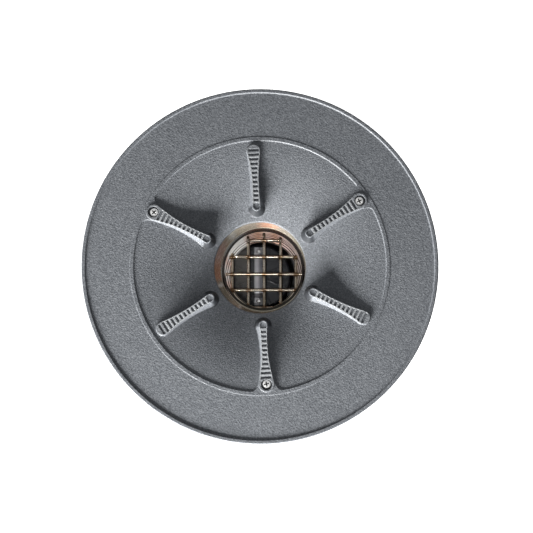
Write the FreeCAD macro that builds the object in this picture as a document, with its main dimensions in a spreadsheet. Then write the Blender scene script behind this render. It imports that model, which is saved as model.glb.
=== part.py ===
import FreeCAD, Part
import math
import os
import Sketcher

# Round floor drain: a moulded dish plate with six raised ribs over a sump body.
# Origin: centre of the anchor-hole circle on the underside of the anchor flange, +Z up.
# Plan view: +X right, +Y away from the viewer. Lengths in millimetres.

V = FreeCAD.Vector
doc = FreeCAD.newDocument("floor_drain")
sheet = doc.addObject("Spreadsheet::Sheet", "Dimensions")

DIM = {
    # levels, measured from the underside of the anchor flange
    "z_floor": 22.0,          # underside of the plate's outer flange, the finished floor
    "z_anchor_top": 4.0,      # top of the anchor flange
    "z_sump_floor": -96.0,    # inside of the sump's floor
    "z_rib_top": 28.3,        # level tops of the ribs
    "z_grid": -35.8,         # centre line of the cross wires that run left to right
    # dish plate
    "plate_r": 175.0,
    "lip_r": 170.8,
    "lip_rise": 1.2,
    "flange_t": 5.0,
    "bead_out_r": 127.9,
    "bead_in_r": 123.4,
    "throat_r": 45.3,
    "hub_r": 60.0,
    "rib_azimuth": 33.2,
    "rib_in_x": 58.2,
    "rib_in_r": 4.0,
    "rib_plain_x": 113.3,
    "rib_plain_r": 6.5,
    "rib_plain_waist": 205.0,
    "rib_screw_x": 116.6,
    "rib_screw_r": 7.6,
    "rib_screw_waist": 155.0,
    "rib_draft": 4.3,
    "ladder_start": 63.85,
    "ladder_depth": 0.55,
    "cbore_x": 117.2,
    "cbore_r": 5.3,
    # fasteners
    "screw_x": 116.4,
    "screw_r": 2.0,
    "screw_head_r": 4.2,
    "clamp_bolt_x": 85.0,
    "clamp_bolt_r": 3.0,
    # throat funnel and basket, standing a little off the plate's axis
    "throat_shift": 2.9,
    "funnel_bore_r": 41.9,
    "basket_rim_r": 40.7,
    "basket_in_r": 39.4,
    "wire_r": 1.55,
    # trap
    "bell_shift": -1.9,
    "bell_r": 33.0,
    # sump body and outlet
    "anchor_r": 127.0,
    "sump_in_r": 50.0,
    "sump_out_r": 53.0,
    "anchor_hole_r": 4.5,
    "anchor_hole_x": 112.0,
    "outlet_r": 25.0,
    "outlet_in_r": 22.6,
}
for row, (alias, value) in enumerate(DIM.items(), 1):
    sheet.set(f"A{row}", alias)
    sheet.set(f"B{row}", str(value))
    sheet.setAlias(f"B{row}", alias)
doc.recompute()

FL = "z_floor"


def num(v):
    if isinstance(v, str):
        return DIM[v]
    if isinstance(v, tuple):
        return DIM[v[0]] + v[1]
    return float(v)


def expr(v):
    if isinstance(v, str):
        return f"Dimensions.{v}"
    if isinstance(v, tuple):
        return f"Dimensions.{v[0]} + ({v[1]:.5f})"
    return None


def plane(body, role):
    return [o for o in body.Origin.OriginFeatures if o.Role == role][0]


def new_body(name):
    body = doc.addObject("PartDesign::Body", name)
    body.Label = name
    return body


def new_sketch(body, name, role, at=(0.0, 0.0, 0.0), turn=0.0):
    sk = body.newObject("Sketcher::SketchObject", name)
    sk.AttachmentSupport = [(plane(body, role), "")]
    sk.MapMode = "FlatFace"
    sk.AttachmentOffset = FreeCAD.Placement(V(*[num(c) for c in at]), FreeCAD.Rotation(V(0, 0, 1), turn))
    for axis, c in zip("xyz", at):
        e = expr(c)
        if e:
            sk.setExpression(f"AttachmentOffset.Base.{axis}", e)
    return sk


def bind(sk, con, value):
    i = sk.addConstraint(con)
    e = expr(value)
    if e:
        sk.setExpression(f"Constraints[{i}]", e)


def pin_point(sk, geo, pos, x, y):
    """Holds a sketch point at x, y."""
    if not isinstance(x, (str, tuple)) and abs(x) < 1e-9:
        sk.addConstraint(Sketcher.Constraint("PointOnObject", geo, pos, -2))
    else:
        bind(sk, Sketcher.Constraint("DistanceX", -1, 1, geo, pos, num(x)), x)
    if not isinstance(y, (str, tuple)) and abs(y) < 1e-9:
        sk.addConstraint(Sketcher.Constraint("PointOnObject", geo, pos, -1))
    else:
        bind(sk, Sketcher.Constraint("DistanceY", -1, 1, geo, pos, num(y)), y)


def outline(sk, verts, arcs=None, closed=True):
    """A chain of lines; arcs maps a segment's number to its radius, positive for anticlockwise."""
    arcs = arcs or {}
    n = len(verts)
    first = sk.GeometryCount
    last = n if closed else n - 1
    ends = []
    for i in range(last):
        p = V(num(verts[i][0]), num(verts[i][1]), 0)
        q = V(num(verts[(i + 1) % n][0]), num(verts[(i + 1) % n][1]), 0)
        if i in arcs:
            r = abs(arcs[i])
            d = q.sub(p)
            h = math.sqrt(max(r * r - d.Length ** 2 / 4, 0.0))
            left = V(-d.y, d.x, 0).normalize()
            c = p.add(d.multiply(0.5)).add(left.multiply(h if arcs[i] > 0 else -h))
            a = math.atan2(p.y - c.y, p.x - c.x)
            b = math.atan2(q.y - c.y, q.x - c.x)
            if arcs[i] > 0:
                if b < a:
                    b += 2 * math.pi
                sk.addGeometry(Part.ArcOfCircle(Part.Circle(c, V(0, 0, 1), r), a, b), False)
                ends.append((1, 2))
            else:
                if a < b:
                    a += 2 * math.pi
                sk.addGeometry(Part.ArcOfCircle(Part.Circle(c, V(0, 0, 1), r), b, a), False)
                ends.append((2, 1))
        else:
            sk.addGeometry(Part.LineSegment(p, q), False)
            ends.append((1, 2))
    for i in range(last if closed else last - 1):
        j = (i + 1) % last
        sk.addConstraint(Sketcher.Constraint("Coincident", first + i, ends[i][1], first + j, ends[j][0]))
    for i in range(last):
        pin_point(sk, first + i, ends[i][0], *verts[i])
        if i in arcs:
            sk.addConstraint(Sketcher.Constraint("Radius", first + i, abs(arcs[i])))
    if not closed:
        pin_point(sk, first + last - 1, ends[-1][1], *verts[-1])


def circle(sk, x, y, r):
    i = sk.addGeometry(Part.Circle(V(num(x), num(y), 0), V(0, 0, 1), num(r)), False)
    bind(sk, Sketcher.Constraint("Radius", i, num(r)), r)
    pin_point(sk, i, 3, x, y)


def revolve(body, name, verts, arcs=None, at=(0.0, 0.0, 0.0)):
    sk = new_sketch(body, name + "Sketch", "XZ_Plane", at)
    outline(sk, verts, arcs)
    f = body.newObject("PartDesign::Revolution", name)
    f.Profile = sk
    f.ReferenceAxis = (sk, ["V_Axis"])
    f.Angle = 360
    return f


def groove(body, name, verts, arcs=None, at=(0.0, 0.0, 0.0)):
    sk = new_sketch(body, name + "Sketch", "XZ_Plane", at)
    outline(sk, verts, arcs)
    f = body.newObject("PartDesign::Groove", name)
    f.Profile = sk
    f.ReferenceAxis = (sk, ["V_Axis"])
    f.Angle = 360
    return f


def pad(body, name, sk, length, down=False):
    f = body.newObject("PartDesign::Pad", name)
    f.Profile = sk
    f.Length = num(length)
    f.Reversed = down
    return f


def pocket(body, name, sk, depth, up=False):
    """Cuts down from the sketch, or up when asked."""
    f = body.newObject("PartDesign::Pocket", name)
    f.Profile = sk
    f.Length = num(depth)
    f.Reversed = up
    return f


def polar(body, name, originals, count):
    f = body.newObject("PartDesign::PolarPattern", name)
    f.Originals = originals
    f.Axis = (plane(body, "Z_Axis"), [""])
    f.Angle = 360
    f.Occurrences = count
    body.Tip = f
    doc.recompute()
    return f


def round_edges(body, name, base, radius, pick):
    doc.recompute()
    edges = [f"Edge{i}" for i, e in enumerate(base.Shape.Edges, 1) if pick(e)]
    f = body.newObject("PartDesign::Fillet", name)
    f.Base = (base, edges)
    f.Radius = radius
    doc.recompute()
    return f


def ring_edge(*pairs):
    """Picks the circular edges at the given radii and levels."""
    def pick(e):
        c = e.Curve
        return isinstance(c, Part.Circle) and any(
            abs(c.Radius - r) < 0.01 and abs(c.Center.z - z) < 0.01 for r, z in pairs)
    return pick


def place(body, shift=None, turn=None):
    body.Placement = FreeCAD.Placement(
        V(num(shift) if shift else 0, 0, 0),
        FreeCAD.Rotation(V(0, 0, 1), num(turn) if turn else 0))
    if shift:
        body.setExpression("Placement.Base.x", expr(shift))
    if turn:
        body.setExpression("Placement.Rotation.Angle", expr(turn))


def ring_body(name, r_in, r_out, z_low, z_high, shift=None, turn=None):
    body = new_body(name)
    revolve(body, name + "Ring", [(r_in, z_low), (r_out, z_low), (r_out, z_high), (r_in, z_high)])
    place(body, shift, turn)
    return body


# ---------------------------------------------------------------- dish plate
def dog_bone(sk, x_in, r_in, x_out, r_out, waist, grow=0.0, grow_in=0.0):
    """Rib outline: two round ends joined by long concave sides."""
    a, b = num(x_in), num(x_out)
    ra, rb, w = num(r_in) + grow_in, num(r_out) + grow, num(waist)
    d = b - a
    xc = a + ((w + ra) ** 2 - (w + rb) ** 2 + d * d) / (2 * d)
    yc = math.sqrt((w + ra) ** 2 - (xc - a) ** 2)
    up, lo = V(xc, yc, 0), V(xc, -yc, 0)
    ca, cb = V(a, 0, 0), V(b, 0, 0)

    def ang(c, p):
        return math.atan2(p.y - c.y, p.x - c.x)

    def touch(c, r, k):
        return c.add(k.sub(c).normalize().multiply(r))

    au, al, bu, bl = touch(ca, ra, up), touch(ca, ra, lo), touch(cb, rb, up), touch(cb, rb, lo)
    n = V(0, 0, 1)
    sk.addGeometry(Part.ArcOfCircle(Part.Circle(ca, n, ra), ang(ca, au), ang(ca, al) + 2 * math.pi), False)
    sk.addGeometry(Part.ArcOfCircle(Part.Circle(lo, n, w), ang(lo, bl), ang(lo, al)), False)
    sk.addGeometry(Part.ArcOfCircle(Part.Circle(cb, n, rb), ang(cb, bl), ang(cb, bu)), False)
    sk.addGeometry(Part.ArcOfCircle(Part.Circle(up, n, w), ang(up, au), ang(up, bu)), False)
    sk.addConstraint(Sketcher.Constraint("Tangent", 0, 2, 1, 2))
    sk.addConstraint(Sketcher.Constraint("Tangent", 1, 1, 2, 1))
    sk.addConstraint(Sketcher.Constraint("Tangent", 2, 2, 3, 2))
    sk.addConstraint(Sketcher.Constraint("Tangent", 3, 1, 0, 1))
    for g, x in ((0, x_in), (2, x_out)):
        sk.addConstraint(Sketcher.Constraint("PointOnObject", g, 3, -1))
        bind(sk, Sketcher.Constraint("DistanceX", -1, 1, g, 3, num(x)), x)
    bind(sk, Sketcher.Constraint("Radius", 0, ra), (r_in, grow_in))
    bind(sk, Sketcher.Constraint("Radius", 2, rb), (r_out, grow))
    bind(sk, Sketcher.Constraint("Radius", 1, w), waist)
    bind(sk, Sketcher.Constraint("Radius", 3, w), waist)


plate = new_body("dish_plate")
DISH_R = 320.0  # the dish's section is an arc that steepens from 2 degrees at the rim to 16 at the throat
chord = math.hypot(76.9, 12.4)
drop = math.sqrt(DISH_R ** 2 - chord ** 2 / 4)
dish_c = (84.95 + drop * 12.4 / chord, -1.8 - drop * 76.9 / chord)


def dish(r):
    """Level of the dish's top from the finished floor."""
    return dish_c[1] + math.sqrt(DISH_R ** 2 - (r - dish_c[0]) ** 2)


def under(r):
    """Level of the dish's underside from the finished floor."""
    return dish(r) - 3.6


plate_disc = revolve(plate, "PlateDisc", [
    ("throat_r", (FL, -11.5)), ("hub_r", (FL, -11.5)), (("hub_r", 1.0), (FL, under(61.0))),
    (124.0, (FL, under(124.0))), (124.0, FL), (131.0, FL), (131.5, (FL, 1.6)), (149.5, (FL, 1.6)),
    (150.0, FL), (("plate_r", -0.6), FL), ("plate_r", (FL, 0.6)), ("plate_r", (FL, 5.4)),
    (("plate_r", -0.9), (FL, 6.2)), (("lip_r", 0.7), (FL, 6.2)), ("lip_r", (FL, 5.0)),
    ("bead_out_r", (FL, 5.0)), (("bead_out_r", -0.5), (FL, 5.3)), (("bead_in_r", 0.7), (FL, 5.3)),
    ("bead_in_r", (FL, 4.4)), (46.5, (FL, -8.0)), ("throat_r", (FL, -9.2))],
    {2: -(DISH_R - 3.6), 11: 1.0, 18: DISH_R, 19: 1.4})

rib_steps = []
for kind, turn in (("screw", 0.0), ("plain", 60.0)):
    x_out, r_out, waist = f"rib_{kind}_x", f"rib_{kind}_r", f"rib_{kind}_waist"
    low = new_sketch(plate, f"RibLow_{kind}", "XY_Plane", (0.0, 0.0, (FL, -9.0)), turn)
    dog_bone(low, "rib_in_x", "rib_in_r", x_out, r_out, (waist, -30.0), DIM["rib_draft"], DIM["rib_draft"] + 0.9)
    top = new_sketch(plate, f"RibTop_{kind}", "XY_Plane", (0.0, 0.0, "z_rib_top"), turn)
    dog_bone(top, "rib_in_x", "rib_in_r", x_out, r_out, waist)
    doc.recompute()
    loft = plate.newObject("PartDesign::AdditiveLoft", f"Rib_{kind}")
    loft.Profile = low
    loft.Sections = [top]
    loft.Ruled = True
    doc.recompute()
    rib_steps.append(polar(plate, f"Ribs_{kind}", [loft], 3))

# the rim band runs flat into the outer end of each rib that holds a screw
bridge_sk = new_sketch(plate, "BridgeSketch", "XY_Plane", (0.0, 0.0, (FL, 1.0)))
outline(bridge_sk, [
    (116.0, 8.8), (116.0, -8.8), (122.9, -16.8), (125.0, -17.1), (126.16, 0.0), (125.0, 17.1), (122.9, 16.8)],
    {1: -7.0, 3: 126.2, 4: 126.2, 6: -7.0})
bridge = pad(plate, "Bridge", bridge_sk, 4.3)
polar(plate, "Bridges", [bridge], 3)

groove(plate, "UnderClean", [
    ("hub_r", (FL, -11.5)), (("hub_r", 1.0), (FL, under(61.0))), (124.0, (FL, under(124.0))), (124.0, FL),
    (131.0, FL), (131.0, (FL, -16.0)), ("hub_r", (FL, -16.0))], {1: -(DISH_R - 3.6)})
doc.recompute()
under_clean = plate.Tip

boss_sk = new_sketch(plate, "BossSketch", "XY_Plane", (0.0, 0.0, (FL, -3.0)))
circle(boss_sk, "screw_x", 0.0, 6.0)
boss = pad(plate, "ScrewBoss", boss_sk, 4.2)
hole_sk = new_sketch(plate, "ScrewHoleSketch", "XY_Plane", (0.0, 0.0, "z_rib_top"))
circle(hole_sk, ("screw_x", 0.2), 0.0, 2.7)
doc.recompute()
polar(plate, "ScrewBosses", [boss], 3)
hole = pocket(plate, "ScrewHole", hole_sk, 12.6)
cbore_sk = new_sketch(plate, "CounterboreSketch", "XY_Plane", (0.0, 0.0, "z_rib_top"))
circle(cbore_sk, "cbore_x", 0.0, "cbore_r")
cbore = pocket(plate, "Counterbore", cbore_sk, 3.9)
doc.recompute()
polar(plate, "ScrewHoles", [hole, cbore], 3)

# hollow cores that keep the ribs from being solid lumps, open underneath
core_sk = new_sketch(plate, "CoreSketch", "XY_Plane", (0.0, 0.0, (FL, -14.0)))
outline(core_sk, [(64.0, -1.2), (106.0, -1.2), (106.0, 1.2), (64.0, 1.2)], {1: 1.21, 3: 1.21})
core = pocket(plate, "RibCore", core_sk, 17.0, up=True)
doc.recompute()
polar(plate, "RibCores", [core], 6)

# transverse grip slots along the rib tops, the first one rounded to the rib's inner end
SLOT_PITCH, SLOT_WIDE = 4.48, 2.4
slot_half = {
    "screw": [(60.0, 2.6), (70.0, 2.4), (86.0, 2.35), (92.0, 2.5), (96.5, 3.0), (101.0, 4.1), (105.5, 4.9), (111.5, 5.4)],
    "plain": [(60.0, 2.6), (70.0, 2.4), (86.0, 2.35), (94.0, 2.6), (100.0, 3.4), (106.0, 4.6), (111.0, 5.4), (116.0, 5.0)],
}


def slot_reach(kind, r):
    """Half width of a grip slot at distance r from the plate's axis."""
    rows = slot_half[kind]
    for (r0, h0), (r1, h1) in zip(rows, rows[1:]):
        if r <= r1:
            return h0 + (h1 - h0) * (r - r0) / (r1 - r0)
    return rows[-1][1]


for kind, turn, count in (("screw", 0.0, 11), ("plain", 60.0, 12)):
    sk = new_sketch(plate, f"LadderSketch_{kind}", "XY_Plane", (0.0, 0.0, "z_rib_top"), turn)
    outline(sk, [("rib_in_x", 3.05), ("rib_in_x", -3.05), (("rib_in_x", 3.5), -2.75), (("rib_in_x", 3.5), 2.75)], {0: 3.06})
    for i in range(count):
        step = SLOT_PITCH * i
        ha = slot_reach(kind, DIM["ladder_start"] + step)
        hb = slot_reach(kind, DIM["ladder_start"] + step + SLOT_WIDE)
        outline(sk, [(("ladder_start", step), -ha), (("ladder_start", step + SLOT_WIDE), -hb),
                     (("ladder_start", step + SLOT_WIDE), hb), (("ladder_start", step), ha)])
    slots = pocket(plate, f"Ladder_{kind}", sk, "ladder_depth")
    doc.recompute()
    polar(plate, f"Ladders_{kind}", [slots], 3)
place(plate, turn="rib_azimuth")

# ---------------------------------------------------------------- screws, washers, inserts
screws = new_body("cover_screws")
head = revolve(screws, "ScrewTurned", [
    (0.0, (FL, -12.6)), (1.2, (FL, -12.6)), ("screw_r", (FL, -11.6)), ("screw_r", (FL, 3.15)),
    (("screw_head_r", -0.1), (FL, 3.15)), ("screw_head_r", (FL, 3.5)), ("screw_head_r", (FL, 4.7)),
    (3.2, (FL, 5.7)), (0.0, (FL, 6.0))], {6: 1.35, 7: 16.0}, at=("screw_x", 0.0, 0.0))
doc.recompute()
polar(screws, "ScrewSet", [head], 3)
for k, (az, turn) in enumerate(((0.0, -8.0), (120.0, 12.0), (240.0, 69.0))):
    c = math.cos(math.radians(az)) * DIM["screw_x"], math.sin(math.radians(az)) * DIM["screw_x"]
    sk = new_sketch(screws, f"RecessSketch{k}", "XY_Plane", (c[0], c[1], (FL, 6.2)), turn)
    s, b = 0.6, 2.5
    outline(sk, [(s, s), (s, b), (-s, b), (-s, s), (-b, s), (-b, -s), (-s, -s), (-s, -b), (s, -b), (s, -s), (b, -s), (b, s)])
    pocket(screws, f"Recess{k}", sk, 1.9)
doc.recompute()
place(screws, turn="rib_azimuth")


def round_group(name, x, count, verts, arcs=None, turn=None):
    """A set of equal turned pieces standing on a circle."""
    body = new_body(name)
    f = revolve(body, name + "Turned", verts, arcs, at=(x, 0.0, 0.0))
    doc.recompute()
    polar(body, name + "Set", [f], count)
    place(body, turn=turn)
    return body


round_group("screw_washers", "screw_x", 3, [
    (2.15, (FL, 2.42)), (4.25, (FL, 2.42)), (4.25, (FL, 3.12)), (2.15, (FL, 3.12))], turn="rib_azimuth")
round_group("threaded_inserts", "screw_x", 3, [
    (2.05, (FL, -13.2)), (3.0, (FL, -13.2)), (3.2, (FL, -12.8)), (3.2, (FL, -9.0)), (2.9, (FL, -8.7)), (2.9, (FL, -7.9)),
    (3.2, (FL, -7.6)), (3.2, (FL, -3.3)), (2.05, (FL, -3.3))], turn="rib_azimuth")

# ---------------------------------------------------------------- sump body
sump = new_body("drain_body")
revolve(sump, "SumpTurned", [
    (34.0, ("z_sump_floor", -4.0)), (36.0, ("z_sump_floor", -3.0)),
    (("sump_out_r", -3.0), ("z_sump_floor", -3.0)), ("sump_out_r", ("z_sump_floor", 0.0)), ("sump_out_r", -6.0),
    (("sump_out_r", 4.0), -2.0), (("sump_out_r", 4.0), 4.05), (65.0, 4.05), (65.0, 5.7), (54.5, 5.7), (54.5, 4.4),
    ("sump_in_r", 0.0), ("sump_in_r", ("z_sump_floor", 4.0)), (46.0, "z_sump_floor"),
    (25.4, "z_sump_floor"), (25.4, ("z_sump_floor", -4.0))], {12: -4.0})
doc.recompute()

# the flange is a collar that the sump tube hangs in by its rim
collar = new_body("anchor_flange")
revolve(collar, "CollarTurned", [
    (("sump_out_r", 0.1), -46.0), (55.2, -46.0), (56.0, -45.2), (56.0, -9.0), (60.0, -5.0), (60.0, 0.0),
    ("anchor_r", 0.0), ("anchor_r", "z_anchor_top"), (("sump_out_r", 4.1), "z_anchor_top"), (("sump_out_r", 4.1), -2.0),
    (("sump_out_r", 0.1), -6.0)])
doc.recompute()
tower_sk = new_sketch(collar, "TowerSketch", "XY_Plane", (0.0, 0.0, ("z_anchor_top", -0.5)))
circle(tower_sk, "screw_x", 0.0, 7.0)
tower = pad(collar, "ScrewTower", tower_sk, 15.3)
doc.recompute()
tower_set = polar(collar, "ScrewTowers", [tower], 3)
bore_sk = new_sketch(collar, "TowerBoreSketch", "XY_Plane", (0.0, 0.0, (FL, -3.2)))
circle(bore_sk, "screw_x", 0.0, 3.25)
tower_bore = pocket(collar, "TowerBore", bore_sk, 12.0)
doc.recompute()
polar(collar, "TowerBores", [tower_bore], 3)
anchor_sk = new_sketch(collar, "AnchorHoleSketch", "XY_Plane", (0.0, 0.0, "z_anchor_top"), 30.0)
circle(anchor_sk, "anchor_hole_x", 0.0, "anchor_hole_r")
anchor = pocket(collar, "AnchorHole", anchor_sk, 6.0)
doc.recompute()
polar(collar, "AnchorHoles", [anchor], 6)
bolt_hole_sk = new_sketch(collar, "ClampHoleSketch", "XY_Plane", (0.0, 0.0, "z_anchor_top"), 30.0)
circle(bolt_hole_sk, "clamp_bolt_x", 0.0, ("clamp_bolt_r", 0.05))
clamp_boss_sk = new_sketch(collar, "ClampBossSketch", "XY_Plane", (0.0, 0.0, 1.0), 30.0)
circle(clamp_boss_sk, "clamp_bolt_x", 0.0, 6.5)
clamp_boss = pad(collar, "ClampBoss", clamp_boss_sk, 9.0, down=True)
doc.recompute()
polar(collar, "ClampBosses", [clamp_boss], 6)
clamp_hole = pocket(collar, "ClampHole", bolt_hole_sk, 15.0)
doc.recompute()
polar(collar, "ClampHoles", [clamp_hole], 6)
web_sk = new_sketch(collar, "WebSketch", "XZ_Plane")
outline(web_sk, [(58.5, 0.5), (58.5, -8.0), (55.0, -12.0), (55.0, -44.0), (58.0, -44.0), (118.0, -4.0), (118.0, 0.5)])
web = collar.newObject("PartDesign::Pad", "Web")
web.Profile = web_sk
web.Length = 3.0
web.Midplane = True
doc.recompute()
polar(collar, "Webs", [web], 6)
place(collar, turn="rib_azimuth")
place(sump, turn="rib_azimuth")

# ---------------------------------------------------------------- membrane clamp
ring_body("membrane_gasket", 67.0, 104.0, 4.05, 5.5, turn="rib_azimuth")
gasket = doc.getObject("membrane_gasket")
clamp = new_body("clamp_ring")
revolve(clamp, "ClampTurned", [
    (67.5, 5.55), (103.0, 5.55), (103.0, 8.6), (102.0, 9.5), (69.0, 9.5), (67.5, 8.6)])
doc.recompute()
for body, name in ((gasket, "GasketHole"), (clamp, "ClampRingHole")):
    sk = new_sketch(body, name + "Sketch", "XY_Plane", (0.0, 0.0, 12.0), 30.0)
    circle(sk, "clamp_bolt_x", 0.0, 3.4)
    h = pocket(body, name, sk, 12.0)
    doc.recompute()
    polar(body, name + "s", [h], 6)
place(clamp, turn="rib_azimuth")

bolts = new_body("clamp_bolts")
shank = revolve(bolts, "ClampShank", [
    (0.0, -6.5), (2.4, -6.5), ("clamp_bolt_r", -5.9), ("clamp_bolt_r", 10.3), (6.3, 10.3), (6.3, 10.8), (0.0, 10.8)],
    at=("clamp_bolt_x", 0.0, 0.0))
hex_sk = new_sketch(bolts, "ClampHexSketch", "XY_Plane", (0.0, 0.0, 10.5))
hexagon = [(85.0 + 5.77 * math.cos(math.radians(60 * k + 30)), 5.77 * math.sin(math.radians(60 * k + 30))) for k in range(6)]
outline(hex_sk, hexagon)
hex_head = pad(bolts, "ClampHex", hex_sk, 3.5)
doc.recompute()
polar(bolts, "ClampBoltSet", [shank, hex_head], 6)
bolts.Placement = FreeCAD.Placement(V(0, 0, 0), FreeCAD.Rotation(V(0, 0, 1), DIM["rib_azimuth"] + 30.0))
bolts.setExpression("Placement.Rotation.Angle", "Dimensions.rib_azimuth + 30")
washers = round_group("clamp_washers", "clamp_bolt_x", 6, [(3.2, 9.55), (6.8, 9.55), (6.8, 10.25), (3.2, 10.25)])
washers.Placement = bolts.Placement
washers.setExpression("Placement.Rotation.Angle", "Dimensions.rib_azimuth + 30")

# ---------------------------------------------------------------- throat
ring_body("plate_gasket", 54.0, 59.0, (FL, -12.6), (FL, -11.55))
ring_body("funnel_seal", 56.0, 59.0, 5.75, 7.2)

funnel = new_body("throat_funnel")
revolve(funnel, "FunnelTurned", [
    (52.6, 7.3), (62.0, 7.3), (62.0, 8.6), (61.3, 9.3), (50.6, 9.3), (42.5, -1.5), ("funnel_bore_r", -3.0),
    ("funnel_bore_r", -40.6), (38.6, -41.2), (38.6, -43.0), (42.4, -43.0), (43.4, -42.0), (43.4, -3.2)],
    {5: -2.6})
place(funnel, "throat_shift")

basket = new_body("basket_shell")
# rolled rim, three pressed beads in the wall and an open foot that tapers inward under the wires
wall = []
arc_map = {}
outer = [(40.2, -40.9), (40.2, -29.6), (39.5, -28.4), (39.5, -26.6), (40.2, -25.4), (40.2, -21.4), (39.5, -20.2),
         (39.5, -18.4), (40.2, -17.2), (40.2, -13.2), (39.5, -12.0), (39.5, -10.2), (40.2, -9.0), (40.2, -6.2)]
inner = [(("basket_in_r", 0.0) if abs(r - 40.2) < 1e-6 else ("basket_in_r", -0.7), z) for r, z in reversed(outer)]
inner[-1] = ("basket_in_r", -38.9)
inner += [(("basket_in_r", -5.4), -40.5), (("basket_in_r", -5.4), -40.9)]
rim = [(40.7, -5.6), (40.7, -4.3), (39.9, -3.6), (39.0, -3.6), (38.5, -4.3), (38.5, -5.0), (39.0, -5.7)]
rim[0] = ("basket_rim_r", -5.6)
rim[1] = ("basket_rim_r", -4.3)
revolve(basket, "BasketTurned", outer + rim + inner)
place(basket, "throat_shift")

# ---------------------------------------------------------------- welded grid
rows = [34.6, 17.6, 0.0, -16.3, -34.4]       # wires running left to right
columns = [-31.8, -15.4, 0.7, 17.4, 33.1]    # wires running away from the viewer
REACH = DIM["basket_in_r"] + 0.08


def wire_bar(body, name, role, across, level, half):
    """A straight wire of the grid, its section standing on the plane named by role."""
    sk = new_sketch(body, name + "Sketch", role, (across, level, -half))
    circle(sk, 0.0, 0.0, "wire_r")
    return pad(body, name, sk, 2 * half)


wires_x = new_body("grid_cross_wires")
for k, y in enumerate(rows):
    half = math.sqrt(REACH ** 2 - (abs(y) + 0.35) ** 2) - (0.9 if abs(y) > 30 else 0.2)
    wire_bar(wires_x, f"Row{k}", "YZ_Plane", y, "z_grid", half)
doc.recompute()
place(wires_x, "throat_shift")

wires_y = new_body("grid_long_wires")
WIRE_DROP = -2.9
LOW = ("z_grid", WIRE_DROP)
for k, x in enumerate(columns):
    if k in (0, 4):
        half = math.sqrt(REACH ** 2 - (abs(x) + 0.35) ** 2) - 0.9
        wire_bar(wires_y, f"Column{k}", "XZ_Plane", x, LOW, half)
    else:
        # bent up at both ends, hugging the wall
        leg = math.sqrt((DIM["basket_in_r"] - 1.47 - 0.7) ** 2 - x * x)
        path = new_sketch(wires_y, f"ColumnPath{k}", "YZ_Plane", (0.0, 0.0, x))
        c = 3.2
        outline(path, [(-leg, -11.0), (-leg, ("z_grid", WIRE_DROP + c)), (-leg + c, LOW), (leg - c, LOW),
                       (leg, ("z_grid", WIRE_DROP + c)), (leg, -11.0)], {1: c, 3: c}, closed=False)
        sec = new_sketch(wires_y, f"ColumnSection{k}", "XY_Plane", (x, -leg, -11.0))
        circle(sec, 0.0, 0.0, "wire_r")
        doc.recompute()
        pipe = wires_y.newObject("PartDesign::AdditivePipe", f"Column{k}")
        pipe.Profile = sec
        pipe.Spine = path
        doc.recompute()
place(wires_y, "throat_shift")

# ---------------------------------------------------------------- trap bell
bell = new_body("trap_bell")
revolve(bell, "BellTurned", [
    (0.0, -54.4), (28.4, -54.4), (30.8, -56.8), (30.8, ("z_sump_floor", 0.05)), ("bell_r", ("z_sump_floor", 0.05)),
    ("bell_r", -54.6), (30.6, -52.0), (0.0, -52.0)], {1: -2.4, 5: 2.5})
rib_sk = new_sketch(bell, "BellRibSketch", "XY_Plane", (0.0, 0.0, -52.2), 22.5)
outline(rib_sk, [(8.0, -0.8), (29.6, -0.8), (29.6, 0.8), (8.0, 0.8)])
bell_rib = pad(bell, "BellRib", rib_sk, 1.6)
doc.recompute()
polar(bell, "BellRibs", [bell_rib], 8)
notch_sk = new_sketch(bell, "BellNotchSketch", "YZ_Plane", (0.0, 0.0, 24.0))
outline(notch_sk, [(-6.0, ("z_sump_floor", -1.0)), (6.0, ("z_sump_floor", -1.0)), (6.0, ("z_sump_floor", 9.0)),
                   (-6.0, ("z_sump_floor", 9.0))], {2: 6.5})
notch = bell.newObject("PartDesign::Pocket", "BellNotch")
notch.Profile = notch_sk
notch.Length = 14.0
notch.Reversed = True
doc.recompute()
polar(bell, "BellNotches", [notch], 6)
rivet_hole_sk = new_sketch(bell, "RivetHoleSketch", "XY_Plane", (0.0, 0.0, -50.0))
circle(rivet_hole_sk, 0.0, 25.5, 1.6)
circle(rivet_hole_sk, 0.0, -25.5, 1.6)
pocket(bell, "RivetHoles", rivet_hole_sk, 6.0)
doc.recompute()
place(bell, "bell_shift")

handle = new_body("bell_handle")
strap_sk = new_sketch(handle, "StrapSketch", "YZ_Plane")
t = 1.2
outline(strap_sk, [
    (-30.0, -51.95), (-22.0, -51.95), (-20.4, -50.2), (-18.6, -46.2), (-16.9, -45.2), (16.9, -45.2), (18.6, -46.2),
    (20.4, -50.2), (22.0, -51.95), (30.0, -51.95), (30.0, -50.75), (22.6, -50.75), (21.4, -49.7), (19.6, -45.5),
    (17.5, -44.0), (-17.5, -44.0), (-19.6, -45.5), (-21.4, -49.7), (-22.6, -50.75), (-30.0, -50.75)],
    {3: -2.1, 5: -2.1, 13: 2.6, 15: 2.6})
strap = handle.newObject("PartDesign::Pad", "Strap")
strap.Profile = strap_sk
strap.Length = 10.0
strap.Midplane = True
strap_hole_sk = new_sketch(handle, "StrapHoleSketch", "XY_Plane", (0.0, 0.0, -50.0))
circle(strap_hole_sk, 0.0, 25.5, 1.6)
circle(strap_hole_sk, 0.0, -25.5, 1.6)
pocket(handle, "StrapHoles", strap_hole_sk, 3.0)
doc.recompute()
place(handle, "bell_shift")

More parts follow.
